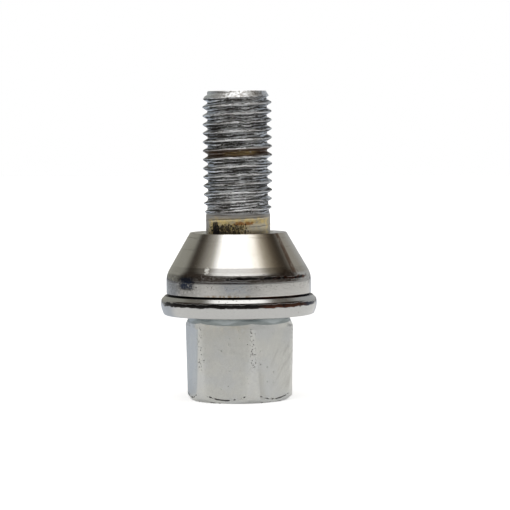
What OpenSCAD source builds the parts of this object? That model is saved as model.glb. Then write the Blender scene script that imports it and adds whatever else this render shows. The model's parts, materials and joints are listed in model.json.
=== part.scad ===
// Wheel bolt with a forged flange and a loose conical seat collar.
// It stands on its hexagon, with the axis along +Z and the head's end face at z = 0.
// The helical thread is cosmetic here: the shank carries its outer envelope.

/* [Thread and shank] */
// Nominal diameter of the metric thread
thread_size = 12; // [10:0.5:14]
// Pitch of the thread
thread_pitch = 1.5; // [1.25:0.25:2]
// Room between the thread's crests and the nominal diameter
thread_allowance = 0.1; // [0.02:0.02:0.2]
// Length from the flange to the end of the shank
shank_len = 35; // [32:0.5:60]
// Length of the thread, run-out included
thread_len = 21.2; // [14:0.1:22]
// Length over which the rolled thread runs out
runout_len = 4.9; // [2:0.1:8]
// Height of the chamfer at the end of the shank
tip_chamfer_h = 1.5; // [0.8:0.1:2.5]
// Radius of the fillet between the flange and the shank
root_fillet = 0.6; // [0.3:0.1:0.8]

/* [Hexagon] */
// Distance across the flats
hex_af = 17; // [16:0.5:19]
// Height of the head below the flange
head_h = 14.5; // [8:0.1:20]
// How far the turned corners stay inside the sharp hexagon beside the flange
corner_turn = 0.2; // [0.1:0.05:0.5]
// How much further in the corners are at the end of the head
corner_taper = 0.45; // [0.1:0.05:0.6]
// Distance from the flats in to the end face
end_bevel = 0.3; // [0.1:0.1:2]
// Slope of the bevel at the end face
end_bevel_angle = 38; // [15:1:45]
// Radius that rounds the bevel into the end face and the corners
end_round = 0.25; // [0.1:0.05:0.5]
// Height below the flange from which the turned corners slope in
corner_slope_h = 1.6; // [0.8:0.1:2]
// Angle between that slope and the axis
corner_slope_angle = 33; // [25:1:45]
// Radius of the fillet between the flats and the flange
under_fillet = 1.5; // [0.3:0.1:2]
// How far the fillet starts inside the flats
fillet_inset = 0.05; // [0.05:0.05:0.3]

/* [Flange] */
// Outer diameter of the flange
flange_d = 27; // [25.5:0.1:32]
// Thickness of the flange
flange_t = 3.55; // [3.2:0.05:6]
// Height over which forging draft narrows the rim toward the hexagon
rim_draft_h = 1.75; // [1:0.05:2.2]
// How far the rim draws in over that height
rim_draft = 0.5; // [0.1:0.05:0.8]
// Radius that rounds the rim into the underside
rim_low_round = 0.5; // [0.2:0.1:0.8]
// Bevel of the rim on the collar's side
rim_bevel = 0.6; // [0.3:0.05:0.95]
// Radius that rounds the ends of that bevel
rim_bevel_round = 0.25; // [0.1:0.05:0.4]

/* [Seat collar] */
// Outer diameter of the collar
collar_d = 24.9; // [23:0.1:26]
// Diameter where the cone ends at the top
cone_top_d = 16.6; // [16:0.1:19]
// Angle of the seat cone, measured across it
cone_angle = 60; // [50:1:90]
// Height of the straight skirt below the cone
skirt_h = 3.4; // [2:0.1:5]
// Radius that joins the skirt and the cone
shoulder_round = 4; // [0.3:0.1:5]
// Bevel on the skirt's lower edge
skirt_bevel = 0.2; // [0.1:0.05:0.5]
// Bevel inside the top of the bore
bore_bevel = 0.3; // [0.1:0.05:0.5]
// Free space around the shank inside the bore
bore_play = 0.19; // [0.1:0.01:0.25]
// Running gap between the collar and the flange
collar_gap = 0.15; // [0.1:0.01:0.3]

/* [Hidden] */
$fn = 96;
arc_steps = 8;
hex_sides = 6;
hex_bite = 0.8;
relief_room = 0.3;

// The blank is as thick as the pitch diameter, so a rolled thread stands out above it
pitch_depth = 0.6495 * thread_pitch;
core_depth = 1.2269 * thread_pitch;
crest_r = (thread_size - thread_allowance) / 2;
blank_r = (thread_size - pitch_depth) / 2;
tip_r = (thread_size - core_depth - thread_allowance) / 2 - thread_allowance;
first_crest_r = (crest_r + blank_r) / 2;

flange_r = flange_d / 2;
flange_top = head_h + flange_t;
shank_end = flange_top + shank_len;
tip_z = shank_end - tip_chamfer_h;
thread_z = shank_end - thread_len;
full_thread_z = thread_z + runout_len;

hex_corner_r = hex_af / (2 * cos(180 / hex_sides));
corner_top_r = hex_corner_r - corner_turn;
corner_end_r = corner_top_r - corner_taper;
end_face_r = hex_af / 2 - end_bevel;
end_bevel_z = (corner_end_r - end_face_r) * tan(end_bevel_angle);
neck_r = hex_af / 2 - fillet_inset;
neck_z = head_h - under_fillet;
corner_top_z = head_h - corner_slope_h;
slope_end_r = neck_r - hex_bite;
slope_end_z = corner_top_z + (corner_top_r - slope_end_r) / tan(corner_slope_angle);

collar_r = collar_d / 2;
cone_top_r = cone_top_d / 2;
cone_h = (collar_r - cone_top_r) / tan(cone_angle / 2);
collar_z = flange_top + collar_gap;
shoulder_z = collar_z + skirt_h;
collar_top = shoulder_z + cone_h;
bore_r = blank_r + bore_play;
bore_relief = root_fillet + relief_room;

function unit(v) = v / norm(v);

// Points of an arc that rounds a corner between its two neighbours
function fillet(before, corner, after, radius) =
    let (
        a = unit(before - corner),
        b = unit(after - corner),
        half = acos(a * b) / 2,
        centre = corner + unit(a + b) * radius / sin(half),
        from = corner + a * radius / tan(half) - centre,
        to = corner + b * radius / tan(half) - centre,
        turn = atan2(from.x * to.y - from.y * to.x, from * to)
    )
    [
        for (i = [0:arc_steps])
            let (t = turn * i / arc_steps)
                centre + [from.x * cos(t) - from.y * sin(t), from.x * sin(t) + from.y * cos(t)]
    ];

// A turned profile from corners that each hold a radius, a height and a fillet
function rounded(corners) =
    let (
        n = len(corners),
        flat = [for (c = corners) [c.x, c.y]]
    )
    [
        for (i = [0:n - 1])
            each corners[i].z == 0
                ? [flat[i]]
                : fillet(flat[(i + n - 1) % n], flat[i], flat[(i + 1) % n], corners[i].z)
    ];

module turned(corners) {
    rotate_extrude()
        polygon(rounded(corners));
}

// The hexagon is turned round its axis, which trims the corners and bevels both ends
module head() {
    intersection() {
        linear_extrude(height = flange_top)
            circle(r = hex_corner_r, $fn = hex_sides);
        turned([
            [0, 0, 0],
            [end_face_r, 0, end_round],
            [corner_end_r, end_bevel_z, end_round],
            [corner_top_r, corner_top_z, 0],
            [slope_end_r, slope_end_z, 0],
            [0, slope_end_z, 0]
        ]);
    }
}

// Flange, plain shank and the outer envelope of the thread, in one turned profile
module flanged_shank() {
    turned([
        [0, neck_z - hex_bite, 0],
        [neck_r, neck_z - hex_bite, 0],
        [neck_r, head_h, under_fillet],
        [flange_r - rim_draft, head_h, rim_low_round],
        [flange_r, head_h + rim_draft_h, 0],
        [flange_r, flange_top - rim_bevel, rim_bevel_round],
        [flange_r - rim_bevel, flange_top, rim_bevel_round],
        [blank_r, flange_top, root_fillet],
        [blank_r, thread_z, 0],
        [first_crest_r, thread_z + thread_pitch / 2, 0],
        [crest_r, full_thread_z, 0],
        [crest_r, tip_z, 0],
        [tip_r, shank_end, 0],
        [0, shank_end, 0]
    ]);
}

module bolt() {
    color("silver")
        union() {
            head();
            flanged_shank();
        }
}

// The bore is wider than the plain shank and narrower than the thread, so the collar can't come off
module seat_collar() {
    color("gainsboro")
        turned([
            [bore_r + bore_relief, collar_z, 0],
            [collar_r - skirt_bevel, collar_z, 0],
            [collar_r, collar_z + skirt_bevel, 0],
            [collar_r, shoulder_z, shoulder_round],
            [cone_top_r, collar_top, 0],
            [bore_r + bore_bevel, collar_top, 0],
            [bore_r, collar_top - bore_bevel, 0],
            [bore_r, collar_z + bore_relief, 0]
        ]);
}

bolt();
seat_collar();
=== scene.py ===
import json
import math

import bpy
import numpy as np
from mathutils import Euler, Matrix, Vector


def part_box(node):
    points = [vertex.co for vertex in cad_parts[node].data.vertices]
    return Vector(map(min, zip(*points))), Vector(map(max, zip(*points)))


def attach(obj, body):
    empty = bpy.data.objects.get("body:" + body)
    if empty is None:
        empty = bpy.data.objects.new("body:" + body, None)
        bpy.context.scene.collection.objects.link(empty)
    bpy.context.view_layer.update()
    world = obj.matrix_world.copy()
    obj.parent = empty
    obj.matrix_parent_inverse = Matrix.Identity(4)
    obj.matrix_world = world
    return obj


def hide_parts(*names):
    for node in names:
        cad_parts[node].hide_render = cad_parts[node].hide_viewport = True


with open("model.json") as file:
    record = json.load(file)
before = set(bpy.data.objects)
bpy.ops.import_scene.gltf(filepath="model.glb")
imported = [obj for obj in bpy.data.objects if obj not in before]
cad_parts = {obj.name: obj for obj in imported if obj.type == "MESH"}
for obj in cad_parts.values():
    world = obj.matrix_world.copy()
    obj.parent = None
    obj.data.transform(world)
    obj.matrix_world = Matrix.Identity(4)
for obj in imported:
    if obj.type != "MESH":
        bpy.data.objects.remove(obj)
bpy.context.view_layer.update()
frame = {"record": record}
print("frame loaded")

mm = 0.001
toDegrees = 180 / math.pi
toRadians = math.pi / 180
scene = bpy.context.scene

# Heights and radii that the frame gives, in millimetres
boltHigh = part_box("bolt")[1] / mm
collarLow, collarHigh = (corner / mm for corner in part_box("seat_collar"))
mounts = {mount["name"]: mount for mount in frame["record"]["mounts"]}
crestRadius = mounts["thread"]["dims"]["r_mm"]
flatDistance = -mounts["drive_flat"]["pos_m"][1] / mm
sideTurn = 60.0                  # degrees from one flat of the hexagon to the next


class Wire:
    # One socket of a node tree, with arithmetic for numbers
    def __init__(self, tree, socket=None):
        self.tree = tree
        self.socket = socket

    def make(self, kind, settings=None, values=None, output=0):
        node = self.tree.nodes.new(kind)
        for name, value in (settings or {}).items():
            if name == "stops":
                fillRamp(node.color_ramp, value)
            else:
                setattr(node, name, value)
        for name, value in (values or {}).items():
            if isinstance(value, Wire):
                self.tree.links.new(value.socket, node.inputs[name])
            else:
                node.inputs[name].default_value = value
        return Wire(self.tree, node.outputs[output] if node.outputs else None)

    def other(self, name):
        # Another output of the node that this wire comes from
        return Wire(self.tree, self.socket.node.outputs[name])

    def math(self, operation, *values):
        return self.make("ShaderNodeMath", {"operation": operation}, dict(enumerate(values)))

    def __add__(self, value):
        return self.math("ADD", self, value)

    __radd__ = __add__

    def __sub__(self, value):
        return self.math("SUBTRACT", self, value)

    def __rsub__(self, value):
        return self.math("SUBTRACT", value, self)

    def __mul__(self, value):
        return self.math("MULTIPLY", self, value)

    __rmul__ = __mul__

    def __truediv__(self, value):
        return self.math("DIVIDE", self, value)

    def __rtruediv__(self, value):
        return self.math("DIVIDE", value, self)

    def __pow__(self, value):
        return self.math("POWER", self, value)

    def __neg__(self):
        return self.math("MULTIPLY", self, -1.0)

    def __abs__(self):
        return self.math("ABSOLUTE", self)

    def __mod__(self, value):
        return self.math("FLOORED_MODULO", self, value)

    def apply(self, operation, *values):
        return self.math(operation, self, *values)

    def atMost(self, value):
        return self.math("MINIMUM", self, value)

    def atLeast(self, value):
        return self.math("MAXIMUM", self, value)

    def rise(self, start, end):
        # 0 before start, 1 after end, smooth between; start may be the larger one
        if start > end:
            return 1.0 - self.rise(end, start)
        return self.make("ShaderNodeMapRange", {"interpolation_type": "SMOOTHSTEP"}, {
            "Value": self, "From Min": start, "From Max": end
        })

    def blend(self, first, second):
        # Colours mixed by this number
        return self.make("ShaderNodeMix", {"data_type": "RGBA"}, {0: self, 6: first, 7: second}, 2)


def fillRamp(ramp, stops):
    while len(ramp.elements) < len(stops):
        ramp.elements.new(1.0)
    for element, (place, colour) in zip(ramp.elements, stops):
        element.position = place
        element.color = colour


def roundCorners(corners, closed=False, stepDegrees=5.0):
    # corners are (radius, height, fillet); each fillet becomes an arc
    points = []
    count = len(corners)
    for i, (r, z, fillet) in enumerate(corners):
        here = np.array([r, z], float)
        if fillet == 0 or (not closed and i in (0, count - 1)):
            points.append(here)
            continue
        before = np.array(corners[i - 1][:2], float) - here
        after = np.array(corners[(i + 1) % count][:2], float) - here
        before /= np.linalg.norm(before)
        after /= np.linalg.norm(after)
        halfAngle = math.acos(np.clip(before @ after, -1, 1)) / 2
        middle = (before + after) / np.linalg.norm(before + after)
        centre = here + middle * fillet / math.sin(halfAngle)
        start = here + before * fillet / math.tan(halfAngle) - centre
        end = here + after * fillet / math.tan(halfAngle) - centre
        turn = math.atan2(start[0] * end[1] - start[1] * end[0], start @ end)
        steps = max(3, math.ceil(abs(math.degrees(turn)) / stepDegrees))
        for step in range(steps + 1):
            a = turn * step / steps
            spin = np.array([[math.cos(a), -math.sin(a)], [math.sin(a), math.cos(a)]])
            points.append(centre + spin @ start)
    return points


def addLoops(points, closed=False, edge=0.04, spacing=None):
    # Extra rows beside the ends of long stretches keep their reflections straight
    result = []
    pairs = list(zip(points, points[1:] + points[:1])) if closed else list(zip(points, points[1:]))
    for start, end in pairs:
        length = float(np.linalg.norm(end - start))
        result.append(start)
        if length < 4 * edge:
            continue
        inner = [edge / length, 1 - edge / length]
        if spacing:
            steps = max(2, math.ceil(length / spacing))
            inner = [inner[0], *np.linspace(0, 1, steps + 1)[1:-1], inner[1]]
        result += [start + (end - start) * share for share in inner]
    if not closed:
        result.append(points[-1])
    return result


def addObject(name, data):
    piece = bpy.data.objects.new(name, data)
    scene.collection.objects.link(piece)
    return piece


def skin(name, rings, closed=False):
    # rings is rows x columns x 3; an open skin is closed by a point at each end
    rows, columns = rings.shape[:2]
    verts = rings.reshape(-1, 3)
    corner = np.arange(rows * columns).reshape(rows, columns)
    nextRow = np.roll(corner, -1, 0) if closed else corner[1:]
    thisRow = corner if closed else corner[:-1]
    quads = np.stack([thisRow, np.roll(thisRow, -1, 1), np.roll(nextRow, -1, 1), nextRow], -1).reshape(-1, 4)
    faces = quads.tolist()
    if not closed:
        bottom, top = len(verts), len(verts) + 1
        verts = np.vstack([verts, rings[0].mean(0), rings[-1].mean(0)])
        faces += [[bottom, b, a] for a, b in zip(corner[0], np.roll(corner[0], -1))]
        faces += [[top, a, b] for a, b in zip(corner[-1], np.roll(corner[-1], -1))]
    mesh = bpy.data.meshes.new(name)
    mesh.from_pydata((verts * mm).tolist(), [], faces)
    mesh.shade_smooth()
    return addObject(name, mesh)


def ringPoints(radius, angle, z):
    # radius holds a row for each height, and one column or one for each angle
    return np.stack([
        radius * np.sin(angle),
        -radius * np.cos(angle),
        np.repeat(z[:, None], len(angle), 1)
    ], -1)


def turned(name, profile, columns=288, closed=False):
    # A profile of (radius, height) points spun round the bolt's axis
    angle = np.linspace(0, 2 * math.pi, columns, endpoint=False)
    r, z = np.array(profile).T
    return skin(name, ringPoints(r[:, None], angle, z), closed)


axisHole = 0.4                   # the skins start this far from the axis, and a point closes them
hiddenDepth = 0.3                # how far a piece goes on inside its neighbour


# The hexagon, turned to a slight taper over its corners and bevelled at its end
headSizes = {
    "height": 14.5,              # up to the flange
    "cornerTurn": 0.2,           # how far the corners stay inside a sharp hexagon
    "cornerTaper": 0.45,         # and how much further at the end
    "endBevel": 0.3,             # from the flats in to the end face
    "endBevelAngle": 38.0,
    "endRound": 0.25,
    "cornerSlope": 1.6,          # height below the flange from which the corners slope in
    "cornerSlopeAngle": 39.0,
    "cornerSlopeRound": 0.35,
    "edgeSoftness": 0.28,        # how wide the edges between faces are rounded
    "columns": 432,
}


def makeHead():
    s = headSizes
    halfSide = math.pi / 6       # from the middle of a flat to a corner
    sharpCorner = flatDistance / math.cos(halfSide)
    cornerTop = sharpCorner - s["cornerTurn"]
    cornerEnd = cornerTop - s["cornerTaper"]
    endFace = flatDistance - s["endBevel"]
    bevelHeight = (cornerEnd - endFace) * math.tan(math.radians(s["endBevelAngle"]))
    slopeStart = s["height"] - s["cornerSlope"]
    hidden = s["height"] + hiddenDepth
    slopeEnd = cornerTop - (hidden - slopeStart) * math.tan(math.radians(s["cornerSlopeAngle"]))
    profile = addLoops(roundCorners([
        (axisHole, 0, 0),
        (endFace, 0, s["endRound"]),
        (cornerEnd, bevelHeight, s["endRound"]),
        (cornerTop, slopeStart, s["cornerSlopeRound"]),
        (slopeEnd, hidden, 0)
    ]), spacing=0.16)
    angle = np.linspace(0, 2 * math.pi, s["columns"], endpoint=False)
    fromFlat = (angle + halfSide) % (2 * halfSide) - halfSide
    flat = flatDistance / np.cos(fromFlat)
    r, z = np.array(profile).T
    near = np.maximum(s["edgeSoftness"] - abs(r[:, None] - flat), 0) / s["edgeSoftness"]
    radius = np.minimum(r[:, None], flat) - near ** 2 * s["edgeSoftness"] / 4
    return skin("hexHead", ringPoints(radius, angle, z))


# The flange and the plain neck, up to where the thread piece takes over inside the collar
flangeSizes = {
    "thickness": 3.55,
    "underFillet": 1.5,          # between the hexagon's flats and the flange
    "filletInset": 0.05,
    "draftHeight": 1.24,         # the forged rim narrows toward the hexagon
    "draftedEdge": 0.5,
    "crownHeight": 2.1,          # middle of the rim's bulge above the hexagon
    "crownRadius": 3.0,
    "crownRows": 15,
    "lowRound": 0.45,
    "bevel": 0.6,                # toward the collar
    "bevelRound": 0.2,
    "bevelInside": 0.02,
    "rimInside": 0.07,           # how far the forged rim stays inside its full size
    "undersideRise": 0.22,       # the underside slopes up toward the rim
    "rootFillet": 0.6,
    "threadStartsBelowCollarTop": 1.5,
}


def makeFlange(blankRadius):
    s = flangeSizes
    rim = boltHigh.x - s["rimInside"]
    bottom = headSizes["height"]
    top = bottom + s["thickness"]
    neck = flatDistance - s["filletInset"]
    hidden = bottom - s["underFillet"] - hiddenDepth
    crownLow, crownHigh = bottom + s["draftHeight"], top - s["bevel"] - s["bevelRound"] / 2
    crown = [
        (rim - (z - bottom - s["crownHeight"]) ** 2 / (2 * s["crownRadius"]), z, 0)
        for z in np.linspace(crownLow, crownHigh, s["crownRows"])
    ]
    edge = crown[-1][0] - s["bevelInside"]
    profile = addLoops(roundCorners([
        (axisHole, hidden, 0),
        (neck, hidden, 0),
        (neck, bottom, s["underFillet"]),
        (rim - s["draftedEdge"], bottom + s["undersideRise"], s["lowRound"]),
        *crown,
        (edge, top - s["bevel"], s["bevelRound"]),
        (edge - s["bevel"], top, s["bevelRound"]),
        (blankRadius, top, s["rootFillet"]),
        (blankRadius, collarHigh.z - s["threadStartsBelowCollarTop"], 0)
    ]), spacing=0.5)
    return turned("flangedNeck", profile)


# The loose collar with its cone seat
collarSizes = {
    "coneTop": 16.6,             # across
    "coneTopRound": 0.12,
    "skirtHeight": 3.4,
    "shoulderRound": 4.0,
    "skirtBevel": 0.2,
    "skirtRounds": (0.15, 0.2),  # of the two ends of that bevel
    "boreBevel": 0.3,
    "boreRelief": 0.9,
    "boreRound": 0.1,
    "borePlay": 0.19,
}


def makeCollar(blankRadius):
    s = collarSizes
    rim, low, high = collarHigh.x, collarLow.z, collarHigh.z
    bore = blankRadius + s["borePlay"]
    profile = addLoops(roundCorners([
        (bore + s["boreRelief"], low, s["boreRound"]),
        (rim - s["skirtBevel"], low, s["skirtRounds"][0]),
        (rim, low + s["skirtBevel"], s["skirtRounds"][1]),
        (rim, low + s["skirtHeight"], s["shoulderRound"]),
        (s["coneTop"] / 2, high, s["coneTopRound"]),
        (bore + s["boreBevel"], high, s["boreRound"]),
        (bore, high - s["boreBevel"], s["boreRound"]),
        (bore, low + s["boreRelief"], s["boreRound"])
    ], closed=True), closed=True, spacing=0.6)
    return turned("coneCollar", profile, closed=True)


# The rolled thread; each of these is an input of its node tree
threadSizes = {
    "Pitch": 1.5,
    "Crest Radius": crestRadius,
    "Root Radius": 5.1,
    "Flank Angle": 30.0,
    "Crest Flat": 0.1,           # half its width
    "Crest Round": 0.07,
    "Root Round": 0.16,
    "Run Out": 4.9,
    "Tip Chamfer": 1.5,
    "Tip Radius": 4.98,
    "Tip Round": 0.08,
    "Length": 21.2,
    "Crest Wear": 0.05,          # how unevenly the crests are rolled
    "Wear Scale": 0.9,
    "Rows Per Turn": 24,
    "Columns": 144,
    "Seed": 3.0,
}
crestRoom = 0.1                  # between the crests and the nominal diameter
pitchDepth = 0.6495              # of a metric thread, in pitches
joinDistance = 0.002
spareTurns = 3.0                 # rows beyond both ends, which are pressed flat onto them
sharpAngle = 50                  # degrees from which an edge isn't shaded smooth
leftCrestHeight = 51.81          # a crest on the side that faces left in the photograph
leftCrestAngle = 196.0
threadPhase = (leftCrestHeight / threadSizes["Pitch"] - leftCrestAngle / 360) % 1


def threadSurface(start, size):
    # A flat sheet whose rows will follow the helix, so that crests and roots lie along them
    turns = ((size["Top"] - size["Bottom"]) / size["Pitch"]).apply("CEIL") + spareTurns
    sheet = start.make("GeometryNodeMeshGrid", None, {
        "Size X": 1.0,
        "Size Y": 1.0,
        "Vertices X": size["Columns"] + 1.0,
        "Vertices Y": turns * size["Rows Per Turn"] + 1.0,
    })
    across = start.make("ShaderNodeSeparateXYZ", None, {0: start.make("GeometryNodeInputPosition")})
    u = across + 0.5
    row = (across.other("Y") + 0.5) * turns
    angle = u * (2 * math.pi)
    baseTurn = (size["Bottom"] / size["Pitch"] - size["Phase"]).apply("FLOOR")
    rawHeight = (row + u + baseTurn + size["Phase"] - 1.0) * size["Pitch"]
    height = rawHeight.atLeast(size["Bottom"]).atMost(size["Top"])

    # Distance from the crest line, then flank, crest and root with rounded corners
    fromCrest = abs((row + 0.5) % 1.0 - 0.5) * size["Pitch"]
    slope = size["Flank Angle"].apply("RADIANS").apply("TANGENT")
    along = height - size["Thread Start"]
    begun = (along * 2.0 / size["Pitch"]).atLeast(0.0).atMost(1.0)
    grown = (along / size["Run Out"]).atLeast(0.0).atMost(1.0)
    shape = (begun + grown) * 0.5
    crest = size["Blank Radius"] + (size["Crest Radius"] - size["Blank Radius"]) * shape
    root = size["Blank Radius"] - (size["Blank Radius"] - size["Root Radius"]) * shape
    flank = crest - (fromCrest - size["Crest Flat"]) / slope
    radius = flank.apply("SMOOTH_MIN", crest, size["Crest Round"])
    radius = radius.apply("SMOOTH_MAX", root, size["Root Round"])
    chamfer = (size["Top"] - height) * (size["Crest Radius"] - size["Tip Radius"]) / size["Tip Chamfer"]
    radius = radius.apply("SMOOTH_MIN", size["Tip Radius"] + chamfer, size["Tip Round"])
    radius = radius.atLeast(size["Tip Radius"] * 0.9)

    def onHelix(radius):
        return start.make("ShaderNodeCombineXYZ", None, {
            0: angle.apply("COSINE") * radius,
            1: angle.apply("SINE") * radius,
            2: height,
        })

    # Rolling leaves the crests a little uneven
    uneven = start.make("ShaderNodeTexNoise", {"noise_dimensions": "4D"}, {
        "Vector": onHelix(radius), "W": size["Seed"], "Scale": size["Wear Scale"]
    })
    radius = radius - (uneven * size["Crest Wear"]) * grown * (1.0 - fromCrest.rise(0.0, 0.4))

    # The first and the last row close the ends on the axis
    ends = row.apply("COMPARE", 0.0, 0.001) + row.apply("COMPARE", turns, 0.001)
    metres = start.make("ShaderNodeVectorMath", {"operation": "SCALE"}, {
        0: onHelix(radius * (1.0 - ends)), "Scale": mm
    })
    return start.make("GeometryNodeSetPosition", None, {"Geometry": sheet, "Position": metres})


def makeThread(material):
    s = threadSizes
    blank = (s["Crest Radius"] * 2 + crestRoom - pitchDepth * s["Pitch"]) / 2
    sizes = {
        **s,
        "Blank Radius": blank,
        "Thread Start": boltHigh.z - s["Length"],
        "Bottom": collarHigh.z - flangeSizes["threadStartsBelowCollarTop"],
        "Top": boltHigh.z,
        "Phase": threadPhase,
    }
    tree = bpy.data.node_groups.new("rolledThread", "GeometryNodeTree")
    tree.interface.new_socket(name="Geometry", in_out="INPUT", socket_type="NodeSocketGeometry")
    tree.interface.new_socket(name="Geometry", in_out="OUTPUT", socket_type="NodeSocketGeometry")
    for name, value in sizes.items():
        kind = "NodeSocketInt" if isinstance(value, int) else "NodeSocketFloat"
        tree.interface.new_socket(name=name, in_out="INPUT", socket_type=kind)
    tree.interface.new_socket(name="Material", in_out="INPUT", socket_type="NodeSocketMaterial")
    given = tree.nodes.new("NodeGroupInput")
    size = {name: Wire(tree, given.outputs[name]) for name in sizes}
    start = size["Pitch"]
    joined = start.make("GeometryNodeMergeByDistance", None, {
        "Geometry": threadSurface(start, size), "Distance": joinDistance * mm
    })
    smooth = start.make("GeometryNodeSetShadeSmooth", None, {"Geometry": joined, "Shade Smooth": True})
    real = start.make("GeometryNodeRealizeInstances", None, {"Geometry": smooth})
    coated = start.make("GeometryNodeSetMaterial", None, {
        "Geometry": real,
        "Material": Wire(tree, given.outputs["Material"]),
    })
    tree.links.new(coated.socket, tree.nodes.new("NodeGroupOutput").inputs[0])

    carrier = addObject("threadCarrier", bpy.data.meshes.new("threadCarrier"))
    modifier = carrier.modifiers.new("rolledThread", "NODES")
    modifier.node_group = tree
    for item in tree.interface.items_tree:
        if item.in_out == "INPUT" and item.name in sizes:
            modifier[item.identifier] = sizes[item.name]
        if item.name == "Material":
            modifier[item.identifier] = material
    seen = carrier.evaluated_get(bpy.context.evaluated_depsgraph_get())
    mesh = bpy.data.meshes.new_from_object(seen)
    mesh.name = "threadedShank"
    carrier.modifiers.remove(modifier)
    bpy.data.objects.remove(carrier)
    mesh.set_sharp_from_angle(angle=math.radians(sharpAngle))
    return addObject("threadedShank", mesh), blank


def makeFinish(name, paint):
    # A material whose paint function gives the shader's colour, roughness and bumps
    material = bpy.data.materials.new(name)
    material.use_nodes = True
    material.node_tree.nodes.clear()
    start = Wire(material.node_tree)
    shader = start.make("ShaderNodeBsdfPrincipled", None, paint(start))
    start.make("ShaderNodeOutputMaterial", None, {"Surface": shader})
    return material


class Place:
    # Where a point of the surface is, in millimetres and degrees round the bolt's axis
    def __init__(self, start):
        metres = start.make("ShaderNodeTexCoord").other("Object")
        self.point = start.make("ShaderNodeVectorMath", {"operation": "SCALE"}, {0: metres, "Scale": 1 / mm})
        self.x = start.make("ShaderNodeSeparateXYZ", None, {0: self.point})
        self.y, self.z = self.x.other("Y"), self.x.other("Z")
        self.radius = (self.x * self.x + self.y * self.y) ** 0.5
        self.angle = self.x.apply("ARCTAN2", -self.y) * toDegrees      # 0 on the flat that faces -Y

    def round(self, middle, width, soft):
        # 1 within width degrees of an angle, fading out over soft
        away = abs((self.angle - middle + 180.0) % 360.0 - 180.0)
        return away.rise(width + soft, width)

    def high(self, low, top, soft):
        # 1 between two heights
        return self.z.rise(low - soft, low) * self.z.rise(top + soft, top)


def stretched(point, by):
    return point.make("ShaderNodeVectorMath", {"operation": "MULTIPLY"}, {0: point, 1: by})


def grain(point, scale, detail=3.0, seed=0.0, rough=0.6):
    # Noise around a half; scale is in waves to the millimetre
    return point.make("ShaderNodeTexNoise", {"noise_dimensions": "4D"}, {
        "Vector": point, "W": seed, "Scale": scale, "Detail": detail, "Roughness": rough
    })


def spots(point, scale, share, size, seed=0.0):
    # Round spots in share of the cells, scale cells to the millimetre; size is their radius in cells
    moved = point.make("ShaderNodeVectorMath", {"operation": "ADD"}, {0: point, 1: (seed, seed, seed)})
    cell = point.make("ShaderNodeTexVoronoi", None, {"Vector": moved, "Scale": scale})
    chance = point.make("ShaderNodeSeparateColor", None, {0: cell.other("Color")})
    return cell.rise(size, size * 0.6) * (share - chance).rise(0.0, 0.05)


def bumps(height, depth, normal=None):
    # depth in millimetres
    given = {"Normal": normal} if normal else {}
    return height.make("ShaderNodeBump", None, {
        "Height": height, "Distance": depth * mm, "Strength": 1.0, **given
    })


def burnished(place, share):
    # The surface's normal, leaning to the horizontal where share is 1
    outward = place.x.make("ShaderNodeCombineXYZ", None, {
        0: place.x / place.radius, 1: place.y / place.radius
    })
    toWorld = {"vector_type": "NORMAL", "convert_from": "OBJECT", "convert_to": "WORLD"}
    outward = outward.make("ShaderNodeVectorTransform", toWorld, {"Vector": outward})
    own = place.x.make("ShaderNodeNewGeometry").other("Normal")
    return share.make("ShaderNodeMix", {"data_type": "VECTOR"}, {0: share, 4: own, 5: outward}, 1)


# In the finishes, a turn is an angle round the bolt, half its width and how far it fades out, in degrees.
# Heights are in millimetres: lowest, highest and how far they fade out; a rise is where it starts and ends.

# Chrome on the hexagon: satin from handling, with pits where the plating has broken at the corners
hexagonFinish = {
    "bright": (0.685, 0.69, 0.655, 1),
    "cool": (0.64, 0.655, 0.65, 1),
    "warmReflection": (0.70, 0.68, 0.60, 1),
    "warmReflectionShare": 0.9,
    "warmReflectionTurn": (0.0, 20.0, 12.0),
    "warmReflectionRise": (10.0, 13.2),
    "dusty": (0.50, 0.50, 0.485, 1),
    "cornerHighlight": (0.72, 0.72, 0.70, 1),
    "cornerHighlightShare": 0.2,
    "underFlangeShade": (0.40, 0.445, 0.45, 1),
    "underFlangeShadeLow": 13.28,
    "underFlangeShadeRise": 0.35,          # how much higher its edge is at the corners
    "footShadeLine": 0.6,
    "footShadeLineRise": 0.064,       # with the square of the distance from the middle of a flat
    "pitAndPaintedDark": (0.03, 0.027, 0.026, 1),
    "pitShare": 0.035,
    "pitsPerMillimetre": 3.0,
    "cornerPitShare": 1.0,
    "cornerPitWidth": 0.62,
    "cornerPitHeights": (6.2, 12.4, 1.2),
    "cornerEnd": 9.165,          # radius of the corners at the end of the head
    "cornerTaper": 0.031,        # and how it grows with height
    "rubbed": (0.42, 0.415, 0.39, 1),
    "rubbedShare": 0.42,
    "rubbedFace": 60.0,          # the face with the slanting marks
    "rubSlant": 0.9,
    "rubbedTurn": (76.0, 13.0, 12.0),
    "rubbedHeights": (3.4, 8.6, 2.0),
    "crescentShadeTurn": (42.0, 12.0, 2.0),
    "crescentShadeRise": (7.5, 3.5),
    "scratchTilt": (0.4, 0.6, 0.3),
    "scratchShare": 0.35,
    "roughness": 0.22,
    "depth": 0.02,
}


def cornerDots(start, place):
    # Plating has broken off in dots along the corners, in another pattern at each
    s = hexagonFinish
    fromCorner = (place.angle % sideTurn - sideTurn / 2) * place.radius * toRadians
    shift = place.angle.rise(-sideTurn / 2, sideTurn / 2) * 9.0
    along = start.make("ShaderNodeCombineXYZ", None, {0: fromCorner, 1: place.z, 2: shift})
    column = abs(fromCorner).rise(s["cornerPitWidth"], s["cornerPitWidth"] * 0.6)
    broken = column * place.high(*s["cornerPitHeights"]) * grain(place.point, 0.5, seed=8.0).rise(0.25, 0.45)
    return spots(along, s["pitsPerMillimetre"], broken * s["cornerPitShare"], 0.34, seed=2.0)


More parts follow.
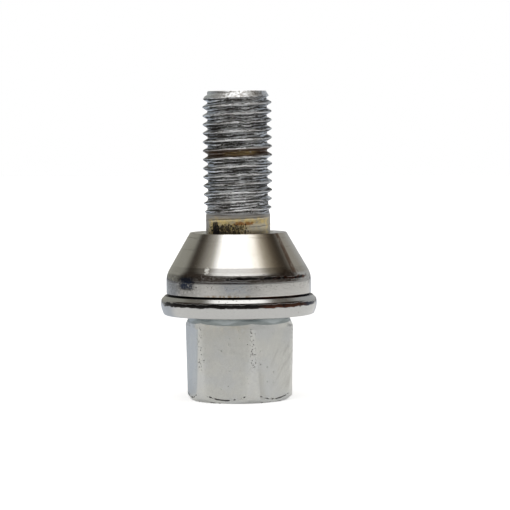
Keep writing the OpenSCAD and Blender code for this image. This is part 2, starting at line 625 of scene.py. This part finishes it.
def footShadeLine(place, onFlat, sideways):
    # Painted shade: a broken dark line curves across the foot of each flat, and a painted contact shadow
    # runs along the bottom rim
    s = hexagonFinish
    away = abs(place.z - s["footShadeLine"] - sideways * s["footShadeLineRise"])
    width = (grain(place.point, 1.0, detail=4.0, seed=12.0) - 0.44) * 1.3
    line = (width.atMost(0.15) - away).rise(0.0, 0.06) * onFlat * sideways.rise(13.0, 10.0)
    return line + place.z.rise(0.2, 0.1) * grain(place.point, 0.5, seed=21.0).rise(0.53, 0.57)


def rubMarksAndCrescentShade(start, place, onFlat, sideways):
    # Slanting marks on one face, and a crescent of painted shade beside a corner
    s = hexagonFinish
    z = place.z
    face = math.radians(s["rubbedFace"])
    across = place.x * math.cos(face) + place.y * math.sin(face)
    cosine, sine = math.cos(s["rubSlant"]), math.sin(s["rubSlant"])
    slanted = start.make("ShaderNodeCombineXYZ", None, {
        0: (across * cosine + z * sine) * 0.14,
        1: (z * cosine - across * sine) * 0.9,
    })
    rubbed = grain(slanted, 1.0, detail=3.0, seed=23.0).rise(0.47, 0.66)
    rubbed = rubbed * place.round(*s["rubbedTurn"]) * place.high(*s["rubbedHeights"])
    stripHalf = ((z * s["cornerTaper"] + s["cornerEnd"]) ** 2.0 - flatDistance ** 2) ** 0.5
    beside = (sideways.atLeast(0.0) ** 0.5 - stripHalf).rise(-1.9, -0.3) * z.rise(*s["crescentShadeRise"])
    crescentShade = beside * place.round(*s["crescentShadeTurn"]) * onFlat
    return (rubbed * s["rubbedShare"] + crescentShade * s["rubbedShare"]).atMost(1.0)


def paintHexagon(start):
    s = hexagonFinish
    place = Place(start)
    point, z = place.point, place.z
    fromFlat = (place.angle + sideTurn / 2) % sideTurn - sideTurn / 2
    inside = flatDistance / (fromFlat * toRadians).apply("COSINE") - place.radius
    onFlat = inside.rise(0.07, 0.03)
    sideways = place.radius * place.radius - flatDistance ** 2      # square of the way from a flat's middle

    mottle = grain(point, 1.6, detail=5.0, seed=1.0)
    colour = grain(point, 0.22, seed=4.0).rise(0.42, 0.6).blend(s["bright"], s["cool"])
    # Painted warm reflection near the top of the front flats
    warmReflection = z.rise(*s["warmReflectionRise"]) * mottle.rise(0.35, 0.65) * place.round(*s["warmReflectionTurn"])
    colour = (warmReflection * s["warmReflectionShare"]).blend(colour, s["warmReflection"])
    dust = (grain(point, 4.5, detail=3.0, seed=14.0) - 0.5) * 1.6 + 0.3
    colour = dust.atLeast(0.0).blend(colour, s["dusty"])

    pits = spots(point, 2.6, s["pitShare"], 0.34)
    fine = spots(point, 5.5, 0.02, 0.36, seed=7.0)
    # Pits, and the painted shade line at the foot of the flats, share one dark colour
    line = footShadeLine(place, onFlat, sideways)
    pitsAndFootShade = (cornerDots(start, place) + pits * 0.8 + fine * 0.6 + line * 0.9).atMost(1.0)
    colour = pitsAndFootShade.blend(colour, s["pitAndPaintedDark"])

    tilted = start.make("ShaderNodeMapping", None, {"Vector": point, "Rotation": s["scratchTilt"]})
    along = grain(stretched(tilted, (6.0, 6.0, 0.25)), 0.5, detail=1.0, seed=3.0)
    scratches = abs(along - 0.5).rise(0.012, 0.002) * grain(point, 0.25, seed=6.0).rise(0.5, 0.62)
    colour = (scratches * s["scratchShare"]).blend(colour, s["rubbed"])
    colour = rubMarksAndCrescentShade(start, place, onFlat, sideways).blend(colour, s["rubbed"])

    # Painted shade under the flange, along a line that sags between the corners
    underFlangeShadeEdge = z - s["underFlangeShadeLow"] - (fromFlat / (sideTurn / 2)) ** 2.0 * s["underFlangeShadeRise"]
    underFlangeShade = (underFlangeShadeEdge + (mottle - 0.5) * 0.1).rise(-0.05, 0.05)
    # Painted highlight on the turned corner strips
    colour = (inside.rise(0.04, 0.12) * s["cornerHighlightShare"]).blend(colour, s["cornerHighlight"])
    colour = underFlangeShade.blend(colour, s["underFlangeShade"])
    slopeStart = headSizes["height"] - headSizes["cornerSlope"]
    slope = z.rise(slopeStart - 0.3, slopeStart - 0.2)
    height = mottle * 0.12 - pitsAndFootShade - scratches * 0.12
    return {
        "Base Color": colour,
        "Metallic": 1.0 - pitsAndFootShade * 0.7,
        "Roughness": s["roughness"] + mottle * 0.08 + pitsAndFootShade * 0.3 + underFlangeShade * 0.2,
        "Normal": bumps(height, s["depth"], burnished(place, slope)),
    }


# Chrome on the forged flange: pitted along the bevel, with painted shade on the fillet under it, a painted
# dark reflection round the rim and painted shade at the seam
flangeFinish = {
    "bright": (0.59, 0.59, 0.58, 1),
    "grey": (0.56, 0.57, 0.57, 1),
    "dusty": (0.47, 0.47, 0.46, 1),
    "underFlangeShade": (0.40, 0.44, 0.45, 1),
    "underFlangeShadeTop": (14.51, 14.35),
    "underFlangeShadeLow": (11.6, 12.1),
    "pitAndPaintedDark": (0.014, 0.012, 0.011, 1),
    "darkBandMiddle": 16.88,         # its middle
    "bandReach": (0.46, 0.2),    # and how far it reaches up and down
    "bandTurn": (16.0, 62.0, 25.0),
    "bevelHeights": (17.5, 18.1, 0.1),
    "bevelTurn": (16.0, 40.0, 20.0),
    "rimHeights": (15.35, 18.05, 0.3),
    "cleanBelow": (14.95, 15.55),
    "seamShade": (17.98, 18.03),
    "rust": (0.11, 0.038, 0.018, 1),
    "rustTurn": (58.0, 18.0, 12.0),
    "ink": (0.012, 0.018, 0.045, 1),
    "inkTurn": (84.0, 5.0, 12.0),
    "roughness": 0.16,
    "depth": 0.02,
}


def paintFlange(start):
    s = flangeFinish
    place = Place(start)
    point, z = place.point, place.z
    mottle = grain(point, 2.2, detail=5.0, seed=2.0)
    colour = (grain(point, 0.3, seed=5.0) * 0.5).blend(s["bright"], s["grey"])
    dust = (grain(point, 4.0, seed=6.0) - 0.5) * 1.4 + 0.3
    colour = dust.atLeast(0.0).blend(colour, s["dusty"])
    # Painted shade on the fillet under the flange
    underFlangeShadeMask = z.rise(*s["underFlangeShadeTop"]) * z.rise(*s["underFlangeShadeLow"])
    colour = underFlangeShadeMask.blend(colour, s["underFlangeShade"])

    # The rim mirrors a dark band, which is painted darker still as a painted reflection with a ragged lower
    # edge; pits gather along it, and rust grows in them
    uneven = (grain(point, 0.8, seed=4.0) - 0.5) * 0.8
    darkReflectionBand = abs(z - s["darkBandMiddle"] + uneven).rise(*s["bandReach"]) * place.round(*s["bandTurn"])
    paintedDarkBand = (darkReflectionBand * 0.5 + grain(point, 1.9, detail=4.0, seed=9.0) * 0.6).rise(0.58, 0.7)
    bevel = place.high(*s["bevelHeights"]) * place.round(*s["bevelTurn"])
    share = darkReflectionBand * 0.5 + bevel * 0.16 + place.high(*s["rimHeights"]) * 0.03
    specks = spots(point, 3.4, share, 0.4, seed=3.0)
    # Dirt and pits with the painted dark band, and painted shade at the seam under the collar
    dirtAndPaintedDark = (paintedDarkBand * 0.97 + specks) * z.rise(*s["cleanBelow"]) + z.rise(*s["seamShade"])
    dirtAndPaintedDark = dirtAndPaintedDark.atMost(1.0)
    rusty = place.round(*s["rustTurn"]) * grain(point, 0.9, seed=1.0).rise(0.3, 0.5)
    dark = place.round(*s["inkTurn"]).blend(rusty.blend(s["pitAndPaintedDark"], s["rust"]), s["ink"])
    return {
        "Base Color": dirtAndPaintedDark.blend(colour, dark),
        "Metallic": 1.0 - dirtAndPaintedDark * 0.1,
        "Roughness": s["roughness"] + mottle * 0.06 + dirtAndPaintedDark * 0.15 + underFlangeShadeMask * 0.25,
        "Normal": bumps(mottle * 0.3 - dirtAndPaintedDark, s["depth"]),
    }


# Polished chrome on the collar, browner on one side and pitted along its shoulder and skirt, with painted
# dark reflections and a painted bluish reflection
collarFinish = {
    "shoulder": 21.6,            # the cone begins a little above it
    "bright": (0.62, 0.61, 0.585, 1),
    "brown": (0.44, 0.39, 0.31, 1),
    "brownTurn": (60.0, 12.0, 35.0),
    "worn": (0.10, 0.095, 0.09, 1),
    "wornShare": 0.54,
    "wornRing": 23.2,            # below this the cone has borne on the wheel
    "wornTurn": (12.0, 24.0, 34.0),
    "darkReflectionShare": 0.62,
    "darkReflectionTurn": (-48.0, 16.0, 26.0),
    "frostedShare": 0.3,
    "seamRust": (0.30, 0.19, 0.08, 1),
    "seamRustShare": 0.7,
    "seamRustTurn": (8.0, 12.0, 14.0),
    "seamRustRise": (18.82, 18.5),
    "bluishReflection": (0.46, 0.52, 0.62, 1),
    "bluishReflectionShare": 0.45,
    "bluishReflectionTurn": (13.0, 4.0, 12.0),
    "bluishReflectionHeights": (19.3, 21.0, 0.6),
    "darkRing": (21.08, 21.68),
    "ringTurn": (44.0, 24.0, 38.0),
    "ringSagTurn": (45.0, 15.0, 30.0),
    "hairlineTurn": (-2.0, 20.0, 14.0),
    "pitAndPaintedDark": (0.012, 0.010, 0.010, 1),
    "pitTurn": (-34.0, 14.0, 16.0),
    "pitRise": (18.95, 21.15),
    "pitEnd": (22.35, 21.35),
    "rust": (0.10, 0.035, 0.018, 1),
    "rustTurn": (68.0, 16.0, 12.0),
    "ink": (0.02, 0.03, 0.06, 1),
    "patchTurn": (-30.0, 4.0, 7.0),
    "patchHeights": (19.8, 21.4, 0.4),
    "latheShare": 0.4,
    "latheRise": (25.0, 27.0),
    "rimStain": (0.10, 0.065, 0.045, 1),
    "rimStainShare": 0.8,
    "run": (0.13, 0.062, 0.028, 1),
    "runShare": 0.8,
    "runTurn": (67.5, 1.4, 2.6),
    "runFootTurn": (62.0, 6.0, 8.0),
    "runFootHeights": (22.0, 22.5, 0.5),
    "scuffed": (0.98, 0.98, 0.94, 1),
    "scuffTurn": (-11.0, 0.6, 3.4),
    "scuffHeights": (22.4, 22.8, 0.7),
    "scuffTailTurn": (-13.0, 2.0, 3.0),
    "scuffTailHeights": (23.0, 25.0, 0.5),
    "roughness": 0.12,
    "depth": 0.014,
}


def collarPlating(place, mottle, cone, browned):
    # Browner on one side, worn and frosted where it has borne on the wheel, and rusty at the seam, with a
    # painted dark reflection on one side of the skirt and a painted bluish reflection on its front
    s = collarFinish
    point, z = place.point, place.z
    colour = browned.blend(s["bright"], s["brown"])
    worn = (z + (mottle - 0.5) * 0.2).rise(s["wornRing"] + 0.12, s["wornRing"] - 0.12) * cone
    worn = worn * (place.round(*s["wornTurn"]) * 0.75 + 0.25)
    colour = (worn * s["wornShare"]).blend(colour, s["worn"])
    # Painted dark reflection on one side of the shoulder and skirt
    darkReflection = place.round(*s["darkReflectionTurn"]) * z.rise(s["shoulder"] + 0.6, s["shoulder"] + 0.1)
    darkReflection = darkReflection * mottle.rise(0.2, 0.6)
    colour = (darkReflection * s["darkReflectionShare"]).blend(colour, s["worn"])
    seamRust = place.round(*s["seamRustTurn"]) * z.rise(*s["seamRustRise"]) * mottle.rise(0.42, 0.58)
    colour = (seamRust * s["seamRustShare"]).blend(colour, s["seamRust"])
    frosted = grain(point, 6.5, detail=2.0, seed=33.0, rough=0.7).rise(0.52, 0.72)
    frosted = frosted * z.rise(s["wornRing"] + 0.9, s["wornRing"] - 0.3)
    colour = (frosted * s["frostedShare"]).blend(colour, s["worn"])
    # Painted bluish reflection on the front of the skirt
    bluishReflection = place.round(*s["bluishReflectionTurn"]) * place.high(*s["bluishReflectionHeights"]) * mottle.rise(0.35, 0.6)
    return (bluishReflection * s["bluishReflectionShare"]).blend(colour, s["bluishReflection"])


def collarDirtAndPaintedDark(place, cone):
    # A painted dark reflection lies round the shoulder as a ring, with a hairline under it and pits that
    # thin out down the skirt
    s = collarFinish
    point, z = place.point, place.z
    low, high = s["darkRing"]
    wander = (grain(point, 0.5, seed=4.0) - 0.5) * 0.6
    # Painted dark reflection round the shoulder
    ring = (z + wander * 0.3 - place.round(*s["ringSagTurn"]) * 0.18).rise(low - 0.08, low + 0.06)
    ring = ring * (z + wander * 1.6).rise(high + 0.3, high - 0.1)
    ring = ring * (place.round(*s["ringTurn"]) * 0.75 + 0.25)
    paintedDarkBand = (ring * 0.4 + grain(point, 2.2, detail=5.0, seed=11.0) * 0.6).rise(0.57, 0.67)
    hairline = abs(z - low + 0.25).rise(0.13, 0.05) * place.round(*s["hairlineTurn"])
    hairline = hairline * grain(point, 1.2, seed=25.0).rise(0.38, 0.5)
    pitted = z.rise(*s["pitRise"]) * z.rise(*s["pitEnd"])
    share = pitted * (place.round(*s["pitTurn"]) * 0.45 + 0.3) + cone * 0.006
    specks = spots(point, 4.2, share, 0.38, seed=5.0)
    fine = spots(point, 7.0, pitted * 0.6, 0.42, seed=15.0)
    patch = place.round(*s["patchTurn"]) * place.high(*s["patchHeights"])
    patch = patch * grain(point, 3.6, detail=5.0, seed=13.0).rise(0.36, 0.5)
    dirtAndPaintedDark = (paintedDarkBand + hairline * 0.8 + specks * 0.9 + fine * 0.6 + patch).atMost(1.0)
    rusty = place.round(*s["rustTurn"]) * grain(point, 0.8, seed=1.0).rise(0.4, 0.55)
    return dirtAndPaintedDark, patch.blend(rusty.blend(s["pitAndPaintedDark"], s["rust"]), s["ink"])


def collarMarks(place, mottle, lengthwise, cone, colour):
    s = collarFinish
    point, z = place.point, place.z

    # Faint lines from the lathe near the top of the cone, and a stained rim round the bore
    lathe = grain(stretched(point, (0.12, 0.12, 2.2)), 1.0, detail=3.0, seed=37.0).rise(0.56, 0.68)
    colour = (lathe * z.rise(*s["latheRise"]) * s["latheShare"]).blend(colour, s["worn"])
    stain = z.rise(collarHigh.z - 0.09, collarHigh.z - 0.03)
    stain = stain * grain(point, 1.2, detail=4.0, seed=39.0).rise(0.38, 0.6)
    colour = (stain * s["rimStainShare"]).blend(colour, s["rimStain"])

    # A brown run down the right of the cone, and a scuff that has lost its shine
    run = place.round(*s["runTurn"]) * cone * (lengthwise + mottle).rise(0.75, 1.05)
    runFoot = place.round(*s["runFootTurn"]) * place.high(*s["runFootHeights"])
    runFoot = runFoot * grain(point, 1.6, detail=5.0, seed=35.0).rise(0.4, 0.56)
    colour = (run.atLeast(runFoot) * s["runShare"]).blend(colour, s["run"])
    scuff = place.round(*s["scuffTurn"]) * place.high(*s["scuffHeights"])
    scuff = scuff + place.round(*s["scuffTailTurn"]) * place.high(*s["scuffTailHeights"]) * 0.3
    scuff = scuff * (scuff * 0.3 + grain(point, 3.2, detail=5.0, seed=17.0)).rise(0.66, 0.78)
    return scuff.blend(colour, s["scuffed"]), scuff


def paintCollar(start):
    s = collarFinish
    place = Place(start)
    mottle = grain(place.point, 2.0, detail=5.0, seed=2.0)
    lengthwise = grain(stretched(place.point, (1.0, 1.0, 0.3)), 0.45, seed=6.0)
    cone = place.z.rise(s["shoulder"] + 0.3, s["shoulder"] + 0.9)
    browned = place.round(*s["brownTurn"]) * 0.7 + lengthwise.rise(0.35, 0.75) * 0.2
    browned = cone * browned.atMost(1.0)
    dirtAndPaintedDark, dark = collarDirtAndPaintedDark(place, cone)
    colour = dirtAndPaintedDark.blend(collarPlating(place, mottle, cone, browned), dark)
    colour, scuff = collarMarks(place, mottle, lengthwise, cone, colour)
    return {
        "Base Color": colour,
        "Metallic": 1.0 - dirtAndPaintedDark * 0.1,
        "Roughness": s["roughness"] + mottle * 0.06 + browned * 0.06 + dirtAndPaintedDark * 0.15 + scuff * 0.35,
        "Normal": bumps(mottle * 0.3 - dirtAndPaintedDark, s["depth"]),
    }


# Rolled steel with dark streaks along the thread and painted glints in front, and stains, soot and a painted
# shadow on the plain neck
threadFinish = {
    "steel": (0.88, 0.88, 0.87, 1),
    "steelShare": 0.7,
    "steelTurn": (16.0, 30.0, 30.0),
    "blue": (0.82, 0.87, 0.93, 1),
    "smear": (0.22, 0.20, 0.18, 1),
    "smearShare": 0.45,
    "darkStreak": (0.03, 0.026, 0.022, 1),
    "darkStreakShare": 0.95,
    "darkStreakLine": (0.468, 0.502),
    "rootRadius": (5.65, 5.2),
    "crestRadius": (5.6, 5.9),
    "glint": (0.95, 0.95, 0.93, 1),
    "glintTurn": (18.0, 26.0, 24.0),
    "tipChamfer": (51.7, 51.85),
    "tarnishTurn": (30.0, 30.0, 38.0),
    "rust": (0.10, 0.05, 0.02, 1),
    "rustShare": 0.85,
    "rustRing": (41.85, 43.15),
    "rustTurn": (16.0, 100.0, 50.0),
    "rustGold": (0.58, 0.43, 0.19, 1),
    "rustGoldTurn": (22.0, 16.0, 26.0),
    "neckTop": 31.9,
    "neckGrey": (0.47, 0.45, 0.42, 1),
    "gold": (0.93, 0.74, 0.32, 1),
    "goldShare": 0.9,
    "goldTurn": (20.0, 42.0, 45.0),
    "goldRise": (31.7, 30.9),
    "pale": (0.90, 0.86, 0.72, 1),
    "paleShare": 0.7,
    "paleTurn": (52.0, 12.0, 22.0),
    "paleRise": (30.7, 30.1),
    "orange": (0.40, 0.16, 0.035, 1),
    "orangeShare": 0.85,
    "orangeTurn": (27.0, 14.0, 14.0),
    "orangeHeights": (30.3, 30.7, 0.3),
    "sootAndShadowColour": (0.015, 0.013, 0.013, 1),
    "sootShare": 0.92,
    "sootTurn": (-6.0, 16.0, 44.0),
    "sootRise": (31.0, 29.8),
    "shadowBlockShare": 0.85,
    "shadowBlockTurn": (-29.0, 4.0, 5.0),
    "shadowBlockRise": (30.9, 30.5),
    "roughness": 0.36,
    "depth": 0.065,
}


def rustyTurn(place, lines):
    # One turn of the groove is rusty, from dark brown to an olive gold in front
    s = threadFinish
    low, high = s["rustRing"]
    unwound = place.z - (place.angle - 16.0) * (threadSizes["Pitch"] / 360.0)
    ring = unwound.rise(low - 0.2, low + 0.2) * unwound.rise(high + 0.2, high - 0.2)
    ring = ring * grain(place.point, 0.7, seed=3.0).rise(0.25, 0.4) * place.round(*s["rustTurn"])
    middle = abs(unwound - (low + high) / 2 + 0.1).rise(0.45, 0.1)
    golden = place.round(*s["rustGoldTurn"]) * middle * lines.rise(0.36, 0.5)
    return ring, golden.blend(s["rust"], s["rustGold"])


def paintNeck(place, colour):
    # Grey at the top, then a gold stain with an orange mark, soot beside the collar, and a painted shadow
    # block on one side
    s = threadFinish
    point, z = place.point, place.z
    neck = z.rise(s["neckTop"] + 0.2, s["neckTop"] - 0.1)
    uneven = (grain(point, 0.6, detail=5.0, seed=5.0) - 0.5) * 1.6
    stained = (place.round(*s["goldTurn"]) + uneven * 0.5).rise(0.1, 0.8)
    stained = (z + uneven).rise(*s["goldRise"]) * stained
    gold = stained * grain(point, 1.3, detail=5.0, seed=15.0).rise(0.3, 0.6)
    orange = place.high(*s["orangeHeights"]) * place.round(*s["orangeTurn"])
    orange = orange * (orange * 0.25 + grain(point, 1.8, detail=5.0, seed=6.0)).rise(0.58, 0.76)
    pale = place.round(*s["paleTurn"]) * z.rise(*s["paleRise"])
    sootEdge = ((z - uneven * 0.5).rise(*s["sootRise"]) * place.round(*s["sootTurn"])) ** 0.7
    # Painted shadow block beside the collar, on one side
    shadowBlock = place.round(*s["shadowBlockTurn"]) * (z + uneven * 0.3).rise(*s["shadowBlockRise"])
    peppered = grain(stretched(point, (1.0, 1.0, 0.5)), 4.6, detail=3.0, seed=18.0, rough=0.75)
    speckled = (peppered + sootEdge * 0.3 - 0.22).rise(0.46, 0.56)
    sootAndShadow = neck * (speckled * s["sootShare"] + shadowBlock * s["shadowBlockShare"]).atMost(1.0)
    colour = neck.blend(colour, s["neckGrey"])
    colour = (neck * gold * s["goldShare"]).blend(colour, s["gold"])
    colour = (neck * pale * s["paleShare"]).blend(colour, s["pale"])
    colour = (neck * orange * s["orangeShare"]).blend(colour, s["orange"])
    return sootAndShadow.blend(colour, s["sootAndShadowColour"]), sootAndShadow


def paintThread(start):
    s = threadFinish
    place = Place(start)
    point, z = place.point, place.z
    onTip = z.rise(*s["tipChamfer"])
    threaded = z.rise(s["neckTop"], s["neckTop"] + 0.5) * (1.0 - onTip)

    # How far round the helix a point lies; its sine and cosine give streaks that run with the thread
    turn = (z / threadSizes["Pitch"] - (place.angle - 90.0) / 360.0 - threadPhase) * (2 * math.pi)
    withThread = start.make("ShaderNodeCombineXYZ", None, {
        0: place.x * 0.16 + turn.apply("COSINE") * 0.5,
        1: place.y * 0.16 + turn.apply("SINE") * 0.5,
        2: z * 0.3,
    })
    streaks = grain(withThread, 1.5, detail=3.0, seed=2.0, rough=0.75)
    scores = grain(withThread, 4.5, detail=2.0, seed=5.0, rough=0.7)
    wave = (turn * 3.0 + grain(point, 0.3, detail=2.0, seed=29.0) * 14.0).apply("COSINE")
    lines = streaks * 0.62 + scores * 0.38 + wave * 0.07
    mottle = grain(point, 2.5, detail=5.0, seed=4.0)
    grit = grain(point, 5.5, detail=2.0, seed=19.0, rough=0.7)
    deep = place.radius.rise(*s["rootRadius"])
    crest = place.radius.rise(*s["crestRadius"])
    light = (lines + (grit - 0.5) * 0.28 + crest * 0.02 - deep * 0.02).rise(*s["darkStreakLine"])

    colour = (place.round(*s["steelTurn"]) * s["steelShare"]).blend(s["blue"], s["steel"])
    colour = (crest * scores.rise(0.55, 0.45) * 0.5).blend(colour, s["smear"])
    smeared = grain(point, 0.4, detail=4.0, seed=7.0).rise(0.5, 0.66) * threaded
    colour = (smeared * s["smearShare"]).blend(colour, s["smear"])
    # Dark streaks along the thread
    darkStreaked = (1.0 - light) * threaded
    colour = (darkStreaked * s["darkStreakShare"]).blend(colour, s["darkStreak"])
    # Painted glints on the front of the thread
    glints = spots(point, 4.2, 0.2, 0.42, seed=31.0) * place.round(*s["glintTurn"]) * threaded
    colour = glints.blend(colour, s["glint"])
    tarnish = onTip * (place.round(*s["tarnishTurn"]) * 0.85 + 0.03) * (mottle.rise(0.44, 0.62) * 0.8 + 0.2)
    colour = tarnish.blend(colour, s["smear"])
    ring, rusty = rustyTurn(place, lines)
    colour = (ring * s["rustShare"]).blend(colour, rusty)
    blots = spots(point, 0.9, threaded * 0.14, 0.28, seed=9.0) * mottle.rise(0.35, 0.5)
    specks = spots(point, 3.4, 0.12, 0.36, seed=2.0)
    dark = (blots + specks * 0.7).atMost(1.0)
    colour = (dark * 0.85).blend(colour, s["sootAndShadowColour"])
    colour, sootAndShadow = paintNeck(place, colour)

    dull = (darkStreaked + ring * 0.5 + dark + sootAndShadow).atMost(1.0)
    height = (streaks + scores * 0.8 + grit * 0.4 + wave * 0.12) * threaded + mottle * 0.2 - dark * 0.5
    return {
        "Base Color": colour,
        "Metallic": 1.0 - dull * 0.35,
        "Roughness": s["roughness"] - light * threaded * 0.08 + mottle * 0.1 + dull * 0.15,
        "Normal": bumps(height, s["depth"]),
    }


# Camera where the photograph was taken from
cameraSizes = {
    "azimuth": 16.0,
    "distance": 430.0,
    "height": 48.85,
    "pitch": 3.2,
    "turn": 0.38,
    "roll": -0.55,
    "focalPixels": 2500.0,
    "framePixels": 510.0,
    "sensorWidth": 36.0,
    "nearest": 10.0,
}


def placeCamera():
    s = cameraSizes
    data = bpy.data.cameras.new("photoCamera")
    data.sensor_width = s["sensorWidth"]
    data.lens = data.sensor_width * s["focalPixels"] / s["framePixels"]
    data.clip_start = s["nearest"] * mm
    camera = addObject("photoCamera", data)
    azimuth = math.radians(s["azimuth"])
    camera.location = (
        s["distance"] * mm * math.sin(azimuth),
        -s["distance"] * mm * math.cos(azimuth),
        s["height"] * mm
    )
    heading = Euler((0, 0, azimuth - math.radians(s["turn"]))).to_quaternion()
    tilt = Euler((math.radians(90 - s["pitch"]), 0, 0)).to_quaternion()
    roll = Euler((0, 0, math.radians(s["roll"]))).to_quaternion()
    camera.rotation_mode = "QUATERNION"
    camera.rotation_quaternion = heading @ tilt @ roll
    scene.camera = camera


# A soft box high in front, a dark room in front and at both sides, and a pale backdrop behind
studio = {
    "facing": cameraSizes["azimuth"],
    "around": [                  # what the upper walls show, by the turn from the front
        (-180, (0.38, 0.38, 0.36, 1)),
        (-121, (0.34, 0.335, 0.29, 1)),
        (-113, (0.16, 0.15, 0.12, 1)),
        (-97, (0.16, 0.145, 0.115, 1)),
        (-84, (0.30, 0.28, 0.25, 1)),
        (-64, (0.55, 0.53, 0.48, 1)),
        (-46, (2.0, 2.0, 2.0, 1)),
        (46, (2.0, 2.0, 2.0, 1)),
        (62, (0.68, 0.65, 0.58, 1)),
        (82, (0.22, 0.185, 0.145, 1)),
        (98, (0.085, 0.07, 0.05, 1)),
        (113, (0.08, 0.055, 0.045, 1)),
        (124, (0.36, 0.345, 0.32, 1)),
        (140, (0.46, 0.46, 0.47, 1)),
        (180, (0.44, 0.44, 0.45, 1)),
    ],
    "upperRise": (34.0, 46.0),   # heights are degrees above the horizon here
    "overheadRise": (62.0, 72.0),
    "ceilingRise": (40.0, 52.0),
    "ceilingAway": (92.0, 108.0),
    "backdropAway": (104.0, 122.0),
    "backdropBlend": (0.4, 0.6),
    "horizon": (0.6, -0.6),
    "low": (0.045, 0.035, 0.028, 1),
    "backdropLeft": (0.365, 0.36, 0.32, 1),
    "backdropRight": (0.47, 0.475, 0.47, 1),
    "overhead": (1.7, 1.68, 1.64, 1),
    "ceiling": (0.20, 0.185, 0.16, 1),
    "table": (0.45, 0.46, 0.47, 1),
    "seen": (1, 1, 1, 1),        # by the camera itself
}


def lightStudio():
    s = studio
    world = bpy.data.worlds.new("studioWorld")
    scene.world = world
    world.use_nodes = True
    world.node_tree.nodes.clear()
    start = Wire(world.node_tree)
    direction = start.make("ShaderNodeTexCoord")
    x = start.make("ShaderNodeSeparateXYZ", None, {0: direction})
    y, z = x.other("Y"), x.other("Z")
    around = ((x.apply("ARCTAN2", -y) * toDegrees - s["facing"] + 180.0) % 360.0) / 360.0
    height = z.apply("ARCSINE") * toDegrees
    away = abs(around - 0.5) * 360.0
    stops = [((turn + 180) / 360, colour) for turn, colour in s["around"]]
    upper = start.make("ShaderNodeValToRGB", {"stops": stops}, {0: around})
    backdrop = around.rise(*s["backdropBlend"]).blend(s["backdropLeft"], s["backdropRight"])
    lower = away.rise(*s["backdropAway"]).blend(s["low"], backdrop)
    colour = height.rise(*s["upperRise"]).blend(lower, upper)
    ceiling = height.rise(*s["ceilingRise"]) * away.rise(*s["ceilingAway"])
    colour = ceiling.blend(colour, s["ceiling"])
    colour = height.rise(*s["overheadRise"]).blend(colour, s["overhead"])
    colour = height.rise(*s["horizon"]).blend(colour, s["table"])
    seen = start.make("ShaderNodeLightPath")
    colour = seen.blend(colour, s["seen"])
    background = start.make("ShaderNodeBackground", None, {"Color": colour, "Strength": 1.0})
    start.make("ShaderNodeOutputWorld", None, {"Surface": background})


# A pale table; far from the bolt it lies in the room's shade, which only reflections show
tableSizes = {
    "half": 1500.0,
    "pale": (0.85, 0.85, 0.85, 1),
    "behind": (0.64, 0.70, 0.80, 1),
    "shaded": (0.26, 0.28, 0.30, 1),
    "whiteGlow": 0.62,           # lifts the table to white for the camera
    "glow": 0.3,
    "dark": (0.04, 0.04, 0.04, 1),
    "shadeRise": (200.0, 380.0), # distances from the bolt
    "darkRise": (400.0, 700.0),
    "shadeTurn": (studio["facing"], 14.0, 34.0),
    "sideShade": 0.35,
    "behindTurn": (studio["facing"] - 158.0, 36.0, 24.0),
}


def layTable():
    s = tableSizes
    half = s["half"] * mm
    mesh = bpy.data.meshes.new("paleTable")
    corners = [(-half, -half, 0), (half, -half, 0), (half, half, 0), (-half, half, 0)]
    mesh.from_pydata(corners, [], [(0, 1, 2, 3)])
    table = addObject("paleTable", mesh)
    material = bpy.data.materials.new("paleTable")
    material.use_nodes = True
    material.node_tree.nodes.clear()
    start = Wire(material.node_tree)
    seen = start.make("ShaderNodeLightPath")
    mirrored = seen.other("Is Glossy Ray")
    place = Place(start)
    shade = place.round(*s["shadeTurn"]) * (1 - s["sideShade"]) + s["sideShade"]
    far = place.radius.rise(*s["shadeRise"]) * shade * mirrored
    behind = place.round(*s["behindTurn"]) * mirrored
    glow = seen * s["whiteGlow"] + (mirrored - far) * s["glow"] * (1.0 - behind * 0.5)
    glowing = start.make("ShaderNodeEmission", None, {"Strength": glow})
    pale = behind.blend(s["pale"], s["behind"])
    dark = place.radius.rise(*s["darkRise"]) * mirrored
    colour = dark.blend(far.blend(pale, s["shaded"]), s["dark"])
    matt = start.make("ShaderNodeBsdfDiffuse", None, {"Color": colour})
    both = start.make("ShaderNodeAddShader", None, {0: glowing, 1: matt})
    start.make("ShaderNodeOutputMaterial", None, {"Surface": both})
    mesh.materials.append(material)


hexagonChrome = makeFinish("hexagonChrome", paintHexagon)
flangeChrome = makeFinish("flangeChrome", paintFlange)
collarChrome = makeFinish("collarChrome", paintCollar)
rolledSteel = makeFinish("rolledSteel", paintThread)
print("finishes mixed")

thread, blankRadius = makeThread(rolledSteel)
head = makeHead()
flange = makeFlange(blankRadius)
collar = makeCollar(blankRadius)
head.data.materials.append(hexagonChrome)
flange.data.materials.append(flangeChrome)
collar.data.materials.append(collarChrome)
print("bolt and collar shaped")

for piece in (head, flange, thread):
    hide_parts("bolt")
    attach(piece, "bolt")
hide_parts("seat_collar")
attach(collar, "seat_collar")

placeCamera()
lightStudio()
layTable()
scene.view_settings.view_transform = "Standard"
print("camera, light and table placed")
